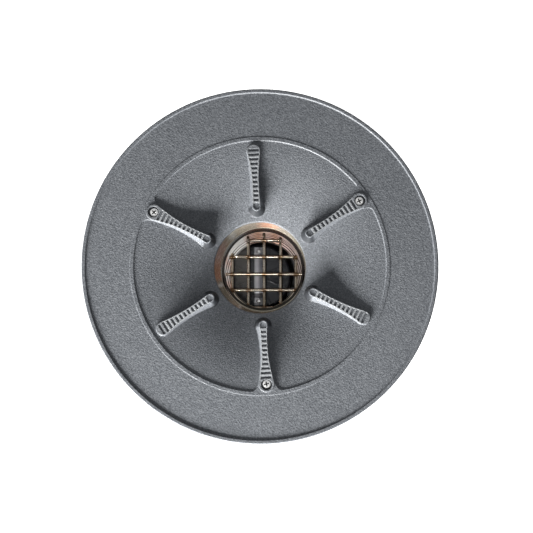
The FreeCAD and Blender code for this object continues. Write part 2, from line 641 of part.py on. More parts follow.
rivets = new_body("handle_rivets")
rivet = revolve(rivets, "Rivet", [
    (0.0, -55.8), (2.1, -55.8), (2.6, -55.2), (2.6, -54.5), (1.55, -54.5), (1.55, -50.7), (2.7, -50.7),
    (2.5, -50.0), (1.5, -49.5), (0.0, -49.5)], at=(25.5, 0.0, 0.0))
doc.recompute()
polar(rivets, "RivetPair", [rivet], 2)
rivets.Placement = FreeCAD.Placement(V(DIM["bell_shift"], 0, 0), FreeCAD.Rotation(V(0, 0, 1), 90))
rivets.setExpression("Placement.Base.x", "Dimensions.bell_shift")

# ---------------------------------------------------------------- outlet
ZS = "z_sump_floor"
pipe_body = new_body("outlet_pipe")
revolve(pipe_body, "OutletTurned", [
    (19.8, (ZS, 30.0)), (20.4, (ZS, 30.6)), (21.4, (ZS, 30.6)), (22.0, (ZS, 30.0)), (22.0, (ZS, 3.8)),
    (27.2, (ZS, 3.8)), (27.4, (ZS, 3.4)), (27.4, (ZS, 1.3)), ("outlet_r", (ZS, 1.3)), ("outlet_r", (ZS, -16.0)), (("outlet_r", -0.5), (ZS, -16.3)),
    (("outlet_r", -0.5), (ZS, -17.3)), ("outlet_r", (ZS, -17.6)), ("outlet_r", (ZS, -59.0)),
    (("outlet_r", -1.2), (ZS, -60.5)), ("outlet_in_r", (ZS, -60.5)), ("outlet_in_r", (ZS, -2.0)), (19.8, (ZS, 3.0))])
ring_body("outlet_gasket", 25.5, 27.4, (ZS, 0.05), (ZS, 1.25))
ring_body("lock_washer", 25.4, 33.0, (ZS, -5.8), (ZS, -4.05))
nut = new_body("lock_nut")
nut_sk = new_sketch(nut, "NutSketch", "XY_Plane", (0.0, 0.0, (ZS, -15.0)))
outline(nut_sk, [(34.6 * math.cos(math.radians(45 * k + 22.5)), 34.6 * math.sin(math.radians(45 * k + 22.5))) for k in range(8)])
circle(nut_sk, 0.0, 0.0, ("outlet_r", 0.06))
nut_pad = pad(nut, "NutBlock", nut_sk, 9.1)
doc.recompute()

# ---------------------------------------------------------------- write the nodes
doc.recompute()
NODES = ["dish_plate", "cover_screws", "screw_washers", "threaded_inserts", "drain_body", "anchor_flange", "membrane_gasket",
         "clamp_ring", "clamp_bolts", "clamp_washers", "plate_gasket", "funnel_seal", "throat_funnel",
         "basket_shell", "grid_cross_wires", "grid_long_wires", "trap_bell", "bell_handle", "handle_rivets",
         "outlet_pipe", "outlet_gasket", "lock_washer", "lock_nut"]
bad = [(o.Name, o.State) for o in doc.Objects if "Invalid" in o.State or "Error" in o.State]
if bad:
    raise RuntimeError(f"features not built: {bad}")
os.makedirs("parts", exist_ok=True)
for name in NODES:
    shape = doc.getObject(name).Shape
    if shape.isNull() or not shape.isValid() or not shape.Solids:
        raise RuntimeError(f"{name} has no sound solid")
    shape.exportStep(f"parts/{name}.step")
    box = shape.BoundBox
    print(f"{name}: {len(shape.Solids)} solids, {shape.Volume:.1f} mm3, z {box.ZMin:.2f} to {box.ZMax:.2f}")
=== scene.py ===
import bpy
import math
import random
from mathutils import Matrix, Vector


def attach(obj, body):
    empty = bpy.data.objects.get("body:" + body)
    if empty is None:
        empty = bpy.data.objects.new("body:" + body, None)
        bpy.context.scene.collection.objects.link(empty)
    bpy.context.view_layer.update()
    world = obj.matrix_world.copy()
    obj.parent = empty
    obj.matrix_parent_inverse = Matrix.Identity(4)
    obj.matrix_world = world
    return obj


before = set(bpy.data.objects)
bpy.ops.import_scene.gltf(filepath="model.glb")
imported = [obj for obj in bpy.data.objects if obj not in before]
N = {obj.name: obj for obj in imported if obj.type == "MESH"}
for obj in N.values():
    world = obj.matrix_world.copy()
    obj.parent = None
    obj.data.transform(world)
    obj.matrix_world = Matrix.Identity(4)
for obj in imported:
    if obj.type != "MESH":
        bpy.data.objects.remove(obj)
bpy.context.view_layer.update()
MM = 0.001
FLOOR = 0.022           # finished floor level, underside of the plate's flange
AXIS_X = 0.0029         # the basket and funnel stand this far off the plate's axis
BELL_X = -0.0019
AZ0 = math.radians(33.2)


# ------------------------------------------------------------------ node helpers
class Mat:
    """A short way of wiring a procedural material."""

    def __init__(self, name):
        self.m = bpy.data.materials.new(name)
        self.m.use_nodes = True
        self.t = self.m.node_tree
        self.b = self.t.nodes["Principled BSDF"]
        self.out = self.t.nodes["Material Output"]
        self._pos = None

    def n(self, kind, **props):
        node = self.t.nodes.new(kind)
        for k, v in props.items():
            setattr(node, k, v)
        return node

    def link(self, a, b):
        self.t.links.new(a, b)

    def put(self, socket, value):
        if isinstance(value, bpy.types.NodeSocket):
            self.link(value, socket)
        elif isinstance(value, (tuple, list)) and len(value) == 3 and socket.type == "RGBA":
            socket.default_value = (*value, 1.0)
        else:
            socket.default_value = value

    def pos(self):
        """Position on the piece itself, so that a moving piece keeps its finish."""
        if self._pos is None:
            self._pos = self.n("ShaderNodeTexCoord").outputs["Object"]
        return self._pos

    def math(self, op, a, b=None, c=None, clamp=False):
        m = self.n("ShaderNodeMath", operation=op)
        m.use_clamp = clamp
        for i, v in enumerate((a, b, c)):
            if v is not None:
                self.put(m.inputs[i], v)
        return m.outputs[0]

    def vmath(self, op, a, b=None, scale=None):
        m = self.n("ShaderNodeVectorMath", operation=op)
        self.put(m.inputs[0], a)
        if b is not None:
            self.put(m.inputs[1], b)
        if scale is not None:
            self.put(m.inputs["Scale"], scale)
        return m.outputs["Value"] if op in ("LENGTH", "DOT_PRODUCT", "DISTANCE") else m.outputs["Vector"]

    def noise(self, scale, detail=3.0, rough=0.55, vec=None, distort=0.0):
        m = self.n("ShaderNodeTexNoise")
        self.link(vec if vec is not None else self.pos(), m.inputs["Vector"])
        self.put(m.inputs["Scale"], scale)
        self.put(m.inputs["Detail"], detail)
        self.put(m.inputs["Roughness"], rough)
        self.put(m.inputs["Distortion"], distort)
        return m.outputs["Fac"]

    def voronoi(self, scale, feature="F1", vec=None, rand=1.0):
        m = self.n("ShaderNodeTexVoronoi", feature=feature)
        self.link(vec if vec is not None else self.pos(), m.inputs["Vector"])
        self.put(m.inputs["Scale"], scale)
        self.put(m.inputs["Randomness"], rand)
        return m.outputs["Distance"]

    def ramp(self, fac, stops, mode="LINEAR"):
        m = self.n("ShaderNodeValToRGB")
        m.color_ramp.interpolation = mode
        cr = m.color_ramp
        while len(cr.elements) < len(stops):
            cr.elements.new(0.5)
        for e, (p, c) in zip(cr.elements, stops):
            e.position = p
            e.color = (*c, 1.0) if isinstance(c, (tuple, list)) else (c, c, c, 1.0)
        self.link(fac, m.inputs["Fac"])
        return m.outputs["Color"]

    def maprange(self, v, a, b, c, d, smooth=False):
        m = self.n("ShaderNodeMapRange")
        m.interpolation_type = "SMOOTHSTEP" if smooth else "LINEAR"
        m.clamp = True
        self.put(m.inputs["Value"], v)
        for k, x in zip(("From Min", "From Max", "To Min", "To Max"), (a, b, c, d)):
            self.put(m.inputs[k], x)
        return m.outputs["Result"]

    def mix(self, fac, a, b, mode="MIX"):
        m = self.n("ShaderNodeMix", data_type="RGBA", blend_type=mode)
        self.put(m.inputs[0], fac)
        self.put(m.inputs[6], a)
        self.put(m.inputs[7], b)
        return m.outputs[2]

    def xyz(self, v=None):
        m = self.n("ShaderNodeSeparateXYZ")
        self.link(v if v is not None else self.pos(), m.inputs[0])
        return m.outputs

    def bump(self, height, strength, distance, normal=None):
        m = self.n("ShaderNodeBump")
        self.put(m.inputs["Strength"], strength)
        self.put(m.inputs["Distance"], distance)
        self.link(height, m.inputs["Height"])
        if normal is not None:
            self.link(normal, m.inputs["Normal"])
        return m.outputs["Normal"]

    def soften(self, radius, samples=6):
        m = self.n("ShaderNodeBevel")
        m.samples = samples
        self.put(m.inputs["Radius"], radius)
        return m.outputs["Normal"]

    def set(self, **kw):
        names = {"color": "Base Color", "metal": "Metallic", "rough": "Roughness", "normal": "Normal", "spec": "Specular IOR Level",
                 "coat": "Coat Weight", "coat_rough": "Coat Roughness", "sheen": "Sheen Weight", "aniso": "Anisotropic",
                 "trans": "Transmission Weight", "ior": "IOR", "tint": "Specular Tint"}
        for k, v in kw.items():
            self.put(self.b.inputs[names[k]], v)
        return self

    def azimuth(self, cx=0.0, cy=0.0):
        """Turn about the vertical through (cx, cy), from 0 to 1, and the distance from it."""
        x, y, z = self.xyz()
        dx = self.math("SUBTRACT", x, cx)
        dy = self.math("SUBTRACT", y, cy)
        a = self.math("ARCTAN2", dy, dx)
        turn = self.math("MULTIPLY_ADD", a, 1 / (2 * math.pi), 0.0)
        turn = self.math("FRACT", self.math("ADD", turn, 1.0))
        r = self.math("SQRT", self.math("ADD", self.math("MULTIPLY", dx, dx), self.math("MULTIPLY", dy, dy)))
        return turn, r, z


def paint(name, mat):
    N[name].data.materials.clear()
    N[name].data.materials.append(mat.m)


# ------------------------------------------------------------------ materials
def rib_frame(m):
    """Distances along and across the nearest rib, found by folding the plate in six."""
    turn, r, z = m.azimuth()
    fold = m.math("FRACT", m.math("MULTIPLY_ADD", turn, 6.0, 7.5 - 33.2 / 60.0))
    ang = m.math("MULTIPLY", m.math("SUBTRACT", fold, 0.5), math.radians(60.0))
    along = m.math("MULTIPLY", r, m.math("COSINE", ang))
    across = m.math("MULTIPLY", r, m.math("SINE", ang))
    return along, across, turn, r, z


def grey_moulding():
    m = Mat("grey_moulding")
    along, across, turn, r, z = rib_frame(m)
    # pebbled leather grain with a finer tooth in it
    big = m.noise(720.0, 2.5, 0.62)
    cells = m.voronoi(880.0, "SMOOTH_F1")
    fine = m.noise(1700.0, 2.0, 0.6)
    grain = m.math("ADD", m.math("MULTIPLY", cells, 0.45), m.math("ADD", m.math("MULTIPLY", big, 0.9), m.math("MULTIPLY", fine, 0.35)))
    # broad mottling and light handling wear
    cloud = m.noise(11.0, 4.0, 0.6)
    streak = m.noise(55.0, 3.0, 0.65)
    speck = m.maprange(m.noise(900.0, 1.0, 0.4), 0.66, 0.74, 0.0, 1.0)
    base = m.ramp(cloud, [(0.25, (0.150, 0.160, 0.176)), (0.75, (0.172, 0.182, 0.199))])
    base = m.mix(m.maprange(big, 0.50, 0.72, 0.0, 0.85), base, (0.30, 0.315, 0.335))
    base = m.mix(m.maprange(big, 0.48, 0.30, 0.0, 0.80), base, (0.075, 0.082, 0.092))
    base = m.mix(m.maprange(fine, 0.55, 0.75, 0.0, 0.45), base, (0.30, 0.31, 0.32))
    base = m.mix(m.maprange(streak, 0.45, 0.75, 0.0, 0.15), base, (0.115, 0.122, 0.134))
    base = m.mix(m.math("MULTIPLY", speck, 0.35), base, (0.36, 0.37, 0.38))
    side = m.math("ABSOLUTE", across)
    # painted shade: the smooth walls round the inner ends of the ribs are made near black
    da = m.math("SUBTRACT", along, 0.0582)
    near = m.math("SQRT", m.math("ADD", m.math("MULTIPLY", da, da), m.math("MULTIPLY", across, across)))
    nose_wall_shade = m.math("MULTIPLY", m.maprange(near, 0.0040, 0.0046, 0.0, 1.0, True), m.maprange(near, 0.0078, 0.0088, 1.0, 0.0, True))
    nose_wall_shade = m.math("MULTIPLY", nose_wall_shade, m.maprange(da, -0.0005, 0.0030, 1.0, 0.0, True))
    base = m.mix(m.math("MULTIPLY", nose_wall_shade, 0.92), base, (0.020, 0.022, 0.026))
    # painted highlight on the tops of the rungs and rib edges
    inside = m.maprange(r, 0.1215, 0.1235, 1.0, 0.0)
    top = m.maprange(z, 0.0281, 0.02825, 0.0, 1.0)
    rung_highlight = m.math("MULTIPLY", m.math("MULTIPLY", top, inside), m.maprange(along, 0.0600, 0.0615, 0.0, 1.0))
    rung_highlight = m.math("MULTIPLY", rung_highlight, m.maprange(along, 0.1095, 0.1125, 1.0, 0.25))
    base = m.mix(m.math("MULTIPLY", rung_highlight, 0.75), base, (0.43, 0.445, 0.46))
    # shade settles in the grip slots
    slot = m.math("MULTIPLY", m.maprange(z, 0.0280, 0.0278, 0.0, 1.0), m.maprange(z, 0.0275, 0.0277, 0.0, 1.0))
    slot = m.math("MULTIPLY", slot, m.maprange(along, 0.0610, 0.0625, 0.0, 1.0))
    slot = m.math("MULTIPLY", m.math("MULTIPLY", slot, inside), m.maprange(side, 0.0056, 0.0060, 1.0, 0.0))
    slot = m.math("MULTIPLY", slot, m.maprange(along, 0.1160, 0.1168, 1.0, 0.0))
    base = m.mix(m.math("MULTIPLY", slot, 0.26), base, (0.065, 0.070, 0.078))
    normal = m.soften(0.0010)
    strength = m.maprange(nose_wall_shade, 0.0, 1.0, 1.0, 0.10)
    normal = m.bump(grain, strength, 0.00042, normal)
    m.set(color=base, rough=m.maprange(grain, 0.5, 1.3, 0.36, 0.56), spec=0.5, normal=normal)
    return m


def dark_moulding(name, base=(0.045, 0.047, 0.052), lift=(0.075, 0.078, 0.084), rough=0.55, soft=0.0008):
    m = Mat(name)
    big = m.noise(38.0, 5.0, 0.6)
    fine = m.noise(900.0, 3.0, 0.6)
    x, y, z = m.xyz()
    flow = m.noise(9.0, 2.0, 0.5, vec=m.vmath("MULTIPLY", m.pos(), (1.0, 1.0, 6.0)))
    col = m.ramp(big, [(0.3, base), (0.72, lift)])
    col = m.mix(m.maprange(flow, 0.5, 0.72, 0.0, 0.25), col, tuple(c * 1.7 for c in lift))
    scuff = m.maprange(m.noise(260.0, 6.0, 0.75), 0.62, 0.74, 0.0, 0.3)
    col = m.mix(scuff, col, tuple(c * 2.2 for c in lift))
    n = m.bump(fine, 0.35, 0.0002, m.soften(soft))
    m.set(color=col, rough=m.maprange(big, 0.3, 0.7, rough - 0.08, rough + 0.12), normal=n)
    return m


def tinted_metal(name, tint_and_reflections, metal=0.75, reflection_glow=0.0, bead_shade_bands=0.0, lip=None, rim_shadow=False):
    """Polished steel with a bronze tint and painted reflection streaks; the hue drifts round the throat."""
    m = Mat(name)
    turn, r, z = m.azimuth(AXIS_X)
    drift = m.noise(30.0, 3.0, 0.6)
    turn = m.math("ADD", turn, m.math("MULTIPLY", m.math("SUBTRACT", drift, 0.5), 0.03))
    # the ramp round the throat holds the tint together with painted reflection streaks (the white and pale stops)
    hue = m.ramp(turn, tint_and_reflections)
    brush = m.noise(220.0, 4.0, 0.6, vec=m.vmath("MULTIPLY", m.pos(), (1.0, 1.0, 14.0)))
    hue = m.mix(m.maprange(brush, 0.35, 0.7, 0.0, 0.30), hue, (0.50, 0.44, 0.38))
    spots = m.maprange(m.noise(420.0, 5.0, 0.7), 0.66, 0.75, 0.0, 0.4)
    hue = m.mix(spots, hue, (0.20, 0.13, 0.09))
    if bead_shade_bands:
        # painted shade: dark bands between brighter ones, following the pressed beads
        phase = m.math("MULTIPLY_ADD", r, 2 * math.pi / 0.0021, m.math("MULTIPLY", drift, 3.0))
        wave = m.math("SINE", m.math("MULTIPLY_ADD", z, 2 * math.pi / 0.0090, phase))
        band = m.maprange(wave, -0.15, 0.55, 0.0, bead_shade_bands, True)
        hue = m.mix(band, hue, (0.016, 0.012, 0.010))
    if rim_shadow:
        # painted shadow: the top of the basket rim is made near black
        hue = m.mix(m.maprange(z, -0.0090, -0.0078, 0.0, 0.96), hue, (0.010, 0.009, 0.008))
    # painted shade: below the lip the wall is made near black; above it the wall pales toward the lip
    if lip is not None:
        low, high, tone, dark = lip
        hue = m.mix(m.maprange(z, high, low, 0.0, 0.85, True), hue, tone)
        hue = m.mix(m.maprange(z, low, low - 0.0006, 0.0, 1.0), hue, dark)
    n = m.bump(brush, 0.12, 0.0002, m.soften(0.0004, 4))
    m.set(color=hue, metal=metal, rough=m.maprange(brush, 0.3, 0.8, 0.20, 0.34), normal=n)
    # the painted shadow on the rim is also made matte and not metallic
    if rim_shadow:
        m.set(color=hue, metal=m.maprange(z, -0.0092, -0.0080, metal, 0.0), rough=m.maprange(z, -0.0092, -0.0080, 0.26, 0.9),
              spec=0.1, normal=n)
    # painted light: the wall glows in its own colour, standing in for reflected light, a little less low down
    if reflection_glow:
        m.link(hue, m.b.inputs["Emission Color"])
        fade = m.maprange(z, -0.041, -0.006, reflection_glow * 0.75, reflection_glow)
        m.link(fade, m.b.inputs["Emission Strength"])
    return m


def wire_metal():
    m = Mat("wire_steel")
    heat = m.noise(60.0, 2.0, 0.5)
    col = m.ramp(heat, [(0.25, (0.52, 0.44, 0.34)), (0.5, (0.68, 0.61, 0.50)), (0.78, (0.82, 0.77, 0.68))])
    # brown tint gathers where the wires cross
    x, y, z = m.xyz()
    near = None
    for vals, axis in (((-31.8, -15.4, 0.7, 17.4, 33.1), x), ((34.6, 17.6, 0.0, -16.3, -34.4), y)):
        best = None
        for v in vals:
            off = AXIS_X if axis is x else 0.0
            d = m.math("ABSOLUTE", m.math("SUBTRACT", axis, v * MM + off))
            best = d if best is None else m.math("MINIMUM", best, d)
        near = best if near is None else m.math("MAXIMUM", near, best)
    tint = m.maprange(m.math("ADD", near, m.math("MULTIPLY", m.math("SUBTRACT", heat, 0.5), 0.002)), 0.0010, 0.0040, 0.92, 0.0, True)
    col = m.mix(tint, col, (0.20, 0.10, 0.035))
    # painted shade: the bent-up ends, in the shadow of the basket wall, are made dark
    col = m.mix(m.maprange(z, -0.036, -0.031, 0.0, 0.75, True), col, (0.10, 0.065, 0.04))
    fine = m.noise(1500.0, 3.0, 0.6)
    m.set(color=col, metal=0.85, rough=m.maprange(heat, 0.3, 0.7, 0.20, 0.28), normal=m.bump(fine, 0.04, 0.0001))
    return m


def bright_steel(name, a=(0.56, 0.56, 0.57), b=(0.74, 0.74, 0.745), rough=0.25, stretch=(1.0, 1.0, 1.0), soft=0.0003):
    m = Mat(name)
    grain = m.noise(600.0, 4.0, 0.6, vec=m.vmath("MULTIPLY", m.pos(), stretch))
    dull = m.noise(70.0, 4.0, 0.65)
    col = m.ramp(grain, [(0.3, a), (0.7, b)])
    col = m.mix(m.maprange(dull, 0.52, 0.75, 0.0, 0.45), col, tuple(c * 0.45 for c in a))
    n = m.bump(grain, 0.15, 0.0001, m.soften(soft, 4))
    m.set(color=col, metal=1.0, rough=m.maprange(dull, 0.3, 0.7, rough - 0.06, rough + 0.14), normal=n)
    return m


def rubber():
    m = Mat("seal_rubber")
    dust = m.noise(300.0, 5.0, 0.7)
    col = m.ramp(dust, [(0.35, (0.016, 0.016, 0.017)), (0.75, (0.05, 0.05, 0.05))])
    m.set(color=col, rough=m.maprange(dust, 0.3, 0.7, 0.72, 0.9), normal=m.bump(dust, 0.3, 0.0001))
    return m


def brass():
    m = Mat("insert_brass")
    w = m.n("ShaderNodeTexWave", wave_type="BANDS", bands_direction="DIAGONAL")
    m.link(m.pos(), w.inputs["Vector"])
    w.inputs["Scale"].default_value = 420.0
    tone = m.noise(300.0, 4.0, 0.6)
    col = m.ramp(tone, [(0.3, (0.52, 0.36, 0.13)), (0.7, (0.80, 0.62, 0.30))])
    m.set(color=col, metal=1.0, rough=0.32, normal=m.bump(w.outputs["Fac"], 0.5, 0.0002))
    return m


def pipe_plastic():
    m = Mat("pipe_plastic")
    flow = m.noise(160.0, 4.0, 0.6, vec=m.vmath("MULTIPLY", m.pos(), (1.0, 1.0, 0.08)))
    cloud = m.noise(26.0, 4.0, 0.6)
    col = m.ramp(flow, [(0.3, (0.20, 0.205, 0.21)), (0.7, (0.27, 0.275, 0.28))])
    col = m.mix(m.maprange(cloud, 0.5, 0.75, 0.0, 0.3), col, (0.36, 0.36, 0.355))
    m.set(color=col, rough=m.maprange(cloud, 0.3, 0.7, 0.28, 0.46), normal=m.bump(flow, 0.12, 0.0002, m.soften(0.0004, 4)))
    return m


def strap_metal():
    """Bright strip with painted shading across it: lighter along its left edge, darker to the right, with a faint
    painted glow.
    """
    m = Mat("strap_steel")
    x, y, z = m.xyz()
    grain = m.noise(600.0, 4.0, 0.6, vec=m.vmath("MULTIPLY", m.pos(), (1.0, 0.05, 1.0)))
    dull = m.noise(70.0, 4.0, 0.65)
    # painted shading across the strip: dark at the very edge, light near the left, dark to the right
    col = m.ramp(m.maprange(x, BELL_X - 0.005, BELL_X + 0.005, 0.0, 1.0), [
        (0.0, (0.07, 0.07, 0.075)), (0.16, (0.30, 0.30, 0.31)), (0.36, (0.32, 0.31, 0.33)), (0.62, (0.12, 0.12, 0.13)), (1.0, (0.05, 0.05, 0.055))])
    col = m.mix(m.maprange(dull, 0.50, 0.75, 0.0, 0.35), col, (0.30, 0.29, 0.29))
    col = m.mix(m.maprange(grain, 0.5, 0.75, 0.0, 0.20), col, (0.62, 0.62, 0.62))
    m.set(color=col, metal=0.55, rough=m.maprange(dull, 0.3, 0.7, 0.26, 0.42), normal=m.bump(grain, 0.15, 0.0001, m.soften(0.0004, 4)))
    # painted light: the strip glows faintly in its own colour
    m.link(col, m.b.inputs["Emission Color"])
    m.b.inputs["Emission Strength"].default_value = 0.10
    return m


def bell_plastic():
    """Dark gloss moulding with a paler field on its left side."""
    m = Mat("trap_moulding")
    x, y, z = m.xyz()
    big = m.noise(38.0, 5.0, 0.6)
    fine = m.noise(900.0, 3.0, 0.6)
    edge = m.math("ADD", x, m.math("MULTIPLY", m.math("SUBTRACT", m.noise(40.0, 2.0, 0.5), 0.5), 0.006))
    field = m.math("MULTIPLY", m.maprange(edge, -0.029, -0.025, 0.0, 1.0, True), m.maprange(edge, -0.0125, -0.0105, 1.0, 0.0, True))
    field = m.math("MULTIPLY", field, m.maprange(y, -0.026, -0.004, 0.35, 1.0, True))
    col = m.ramp(big, [(0.3, (0.012, 0.013, 0.016)), (0.72, (0.021, 0.023, 0.029))])
    col = m.mix(m.math("MULTIPLY", field, 0.9), col, (0.105, 0.100, 0.092))
    scuff = m.maprange(m.noise(260.0, 6.0, 0.75), 0.62, 0.74, 0.0, 0.3)
    col = m.mix(scuff, col, (0.05, 0.05, 0.055))
    m.set(color=col, rough=m.maprange(big, 0.3, 0.7, 0.20, 0.36), normal=m.bump(fine, 0.2, 0.0001, m.soften(0.0008)))
    return m


DOME = 31.25


def screw_metal():
    """Plated steel with painted shade in the cross recesses of the cover screws, a painted shadow ring round each head
    and a faint painted glow on the heads.
    """
    m = Mat("screw_steel")
    x, y, z = m.xyz()
    grain = m.noise(600.0, 4.0, 0.6)
    dull = m.noise(260.0, 4.0, 0.65)
    col = m.ramp(grain, [(0.3, (0.78, 0.78, 0.77)), (0.7, (0.93, 0.93, 0.92))])
    col = m.mix(m.maprange(dull, 0.52, 0.75, 0.0, 0.35), col, (0.42, 0.42, 0.42))
    near = None
    for k in range(3):
        a = AZ0 + k * 2 * math.pi / 3
        px, py = 0.1164 * math.cos(a), 0.1164 * math.sin(a)
        dx, dy = m.math("SUBTRACT", x, px), m.math("SUBTRACT", y, py)
        d = m.math("SQRT", m.math("ADD", m.math("MULTIPLY", dx, dx), m.math("MULTIPLY", dy, dy)))
        near = d if near is None else m.math("MINIMUM", near, d)
    dome = m.math("SUBTRACT", 0.02800, m.math("MULTIPLY", m.math("MULTIPLY", near, near), DOME))
    # painted shade: the cross recesses are made near black
    cross_recess_shade = m.math("MULTIPLY", m.maprange(m.math("SUBTRACT", z, dome), -0.00010, -0.00022, 0.0, 1.0), m.maprange(near, 0.0026, 0.0028, 1.0, 0.0))
    # painted shadow: a dark ring round the edge of each head
    rim_shadow = m.maprange(near, 0.0035, 0.0040, 0.0, 0.8)
    high = m.maprange(z, 0.0200, 0.0235, 0.0, 1.0)
    col = m.mix(m.math("MULTIPLY", rim_shadow, high), col, (0.10, 0.10, 0.10))
    dark = m.math("MULTIPLY", cross_recess_shade, high)
    col = m.mix(dark, col, (0.004, 0.004, 0.004))
    # painted light: the heads glow faintly in their own colour
    m.link(m.mix(high, (0.0, 0.0, 0.0), col), m.b.inputs["Emission Color"])
    m.b.inputs["Emission Strength"].default_value = 0.26
    m.set(color=col, metal=m.maprange(dark, 0.0, 1.0, 0.55, 0.0), rough=m.maprange(dull, 0.3, 0.7, 0.24, 0.40), spec=0.3,
          normal=m.bump(grain, 0.15, 0.0001, m.soften(0.0003, 4)))
    return m


TAUPE, ORANGE, PINK = (0.36, 0.31, 0.255), (0.56, 0.30, 0.20), (0.66, 0.47, 0.41)
WHITE, BROWN, BEIGE = (0.92, 0.91, 0.88), (0.20, 0.17, 0.13), (0.62, 0.55, 0.44)
OLIVE = (0.28, 0.265, 0.205)
# ramps round the throat: bronze tint with painted reflection streaks at the white and pale stops
funnel_mat = tinted_metal("funnel_bronze", [
    (0.0, TAUPE), (0.10, OLIVE), (0.19, TAUPE), (0.21, ORANGE), (0.25, ORANGE), (0.28, TAUPE), (0.35, BEIGE), (0.37, WHITE),
    (0.39, BEIGE), (0.425, PINK), (0.46, PINK), (0.50, ORANGE), (0.53, ORANGE), (0.545, TAUPE), (0.556, WHITE), (0.564, OLIVE),
    (0.60, OLIVE), (0.655, BEIGE), (0.664, WHITE), (0.672, OLIVE), (0.80, BROWN), (0.90, TAUPE), (1.0, TAUPE)],
    metal=0.45, lip=(-0.0026, -0.0008, (0.66, 0.60, 0.48), (0.006, 0.005, 0.005)))
basket_mat = tinted_metal("basket_bronze", [
    (0.0, (0.30, 0.25, 0.23)), (0.08, (0.46, 0.38, 0.35)), (0.16, (0.62, 0.46, 0.42)), (0.20, ORANGE), (0.235, PINK), (0.27, ORANGE), (0.31, PINK),
    (0.34, WHITE), (0.42, WHITE), (0.45, PINK), (0.50, WHITE), (0.54, PINK), (0.60, TAUPE), (0.70, OLIVE), (0.85, OLIVE), (1.0, (0.30, 0.25, 0.23))],
    metal=0.35, reflection_glow=0.50, bead_shade_bands=0.96, rim_shadow=True)
grey = grey_moulding()
body_mat = dark_moulding("body_moulding")
trap_mat = bell_plastic()
nut_mat = dark_moulding("nut_moulding", (0.06, 0.062, 0.066), (0.095, 0.098, 0.104), 0.5)
wire_mat = wire_metal()
strap_mat = strap_metal()
screw_mat = screw_metal()
fix_mat = bright_steel("fixing_steel", (0.50, 0.50, 0.50), (0.72, 0.72, 0.71), rough=0.30)
rubber_mat = rubber()
brass_mat = brass()
pipe_mat = pipe_plastic()

paint("dish_plate", grey)
for n in ("drain_body", "anchor_flange"):
    paint(n, body_mat)
paint("trap_bell", trap_mat)
for n in ("clamp_ring", "lock_washer", "lock_nut"):
    paint(n, nut_mat)
paint("throat_funnel", funnel_mat)
paint("basket_shell", basket_mat)
for n in ("grid_cross_wires", "grid_long_wires"):
    paint(n, wire_mat)
paint("bell_handle", strap_mat)
paint("cover_screws", screw_mat)
for n in ("clamp_bolts", "clamp_washers", "handle_rivets"):
    paint(n, fix_mat)
for n in ("screw_washers", "membrane_gasket", "plate_gasket", "funnel_seal", "outlet_gasket"):
    paint(n, rubber_mat)
paint("threaded_inserts", brass_mat)
paint("outlet_pipe", pipe_mat)

def mesh_object(name, verts, faces, mat, smooth=True):
    me = bpy.data.meshes.new(name)
    me.from_pydata(verts, [], faces)
    me.update()
    if smooth:
        me.polygons.foreach_set("use_smooth", [True] * len(me.polygons))
    o = bpy.data.objects.new(name, me)
    bpy.context.scene.collection.objects.link(o)
    me.materials.append(mat.m if isinstance(mat, Mat) else mat)
    return o


# ------------------------------------------------------------------ pieces beyond the solids
def weld_metal():
    m = Mat("weld_bead")
    tone = m.noise(500.0, 4.0, 0.65)
    col = m.ramp(tone, [(0.3, (0.075, 0.042, 0.020)), (0.55, (0.23, 0.13, 0.06)), (0.8, (0.52, 0.38, 0.24))])
    m.set(color=col, metal=0.8, rough=m.maprange(tone, 0.3, 0.7, 0.28, 0.5), normal=m.bump(tone, 0.4, 0.0002))
    return m


def lump(verts, faces, centre, size, seed, rings=7, segs=14):
    """Adds one uneven rounded bead."""
    rnd = random.Random(seed)
    ph = [rnd.uniform(0, 6.28) for _ in range(4)]
    first = len(verts)
    for i in range(rings + 1):
        t = math.pi * i / rings
        for k in range(segs):
            a = 2 * math.pi * k / segs
            w = 1.0 + 0.10 * math.sin(2 * a + ph[0]) + 0.07 * math.sin(3 * a + ph[1]) * math.sin(t) + 0.05 * math.sin(2 * t + ph[2])
            verts.append((centre[0] + size[0] * w * math.sin(t) * math.cos(a), centre[1] + size[1] * w * math.sin(t) * math.sin(a),
                          centre[2] + size[2] * math.cos(t)))
    for i in range(rings):
        for k in range(segs):
            p, q = first + i * segs + k, first + i * segs + (k + 1) % segs
            faces.append((p, p + segs, q + segs, q))


ROWS, COLS = (34.6, 17.6, 0.0, -16.3, -34.4), (-31.8, -15.4, 0.7, 17.4, 33.1)


def crossing_welds(mat):
    verts, faces = [], []
    seed = 3
    for y in ROWS:
        for x in COLS:
            if math.hypot(x, y) > 38.0:
                continue
            seed += 1
            r = random.Random(seed)
            # molten metal stands in the corners between the two wires
            for sx in (-1, 1):
                for sy in (-1, 1):
                    if r.random() < 0.25:
                        continue
                    c = (2.9 + x + sx * 1.35, y + sy * 1.35, -37.3 + r.uniform(-0.2, 0.2))
                    lump(verts, faces, tuple(v * MM for v in c), (0.78 * MM * r.uniform(0.8, 1.25), 0.78 * MM * r.uniform(0.8, 1.25), 0.80 * MM), seed * 7 + sx + 2 * sy)
    o = mesh_object("crossing_welds", verts, faces, mat)
    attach(o, "basket")
    return o


def wall_welds(mat):
    verts, faces = [], []
    seed = 90
    for y in ROWS:
        if abs(y) > 30:
            continue
        x = math.sqrt(38.7 ** 2 - y * y)
        for sx in (-1, 1):
            seed += 1
            for dy in (-1.5, 1.5):
                lump(verts, faces, ((2.9 + sx * (x - 0.1)) * MM, (y + dy) * MM, -35.9 * MM), (0.75 * MM, 0.8 * MM, 0.8 * MM), seed + int(dy))
    o = mesh_object("wall_welds", verts, faces, mat)
    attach(o, "basket")
    return o


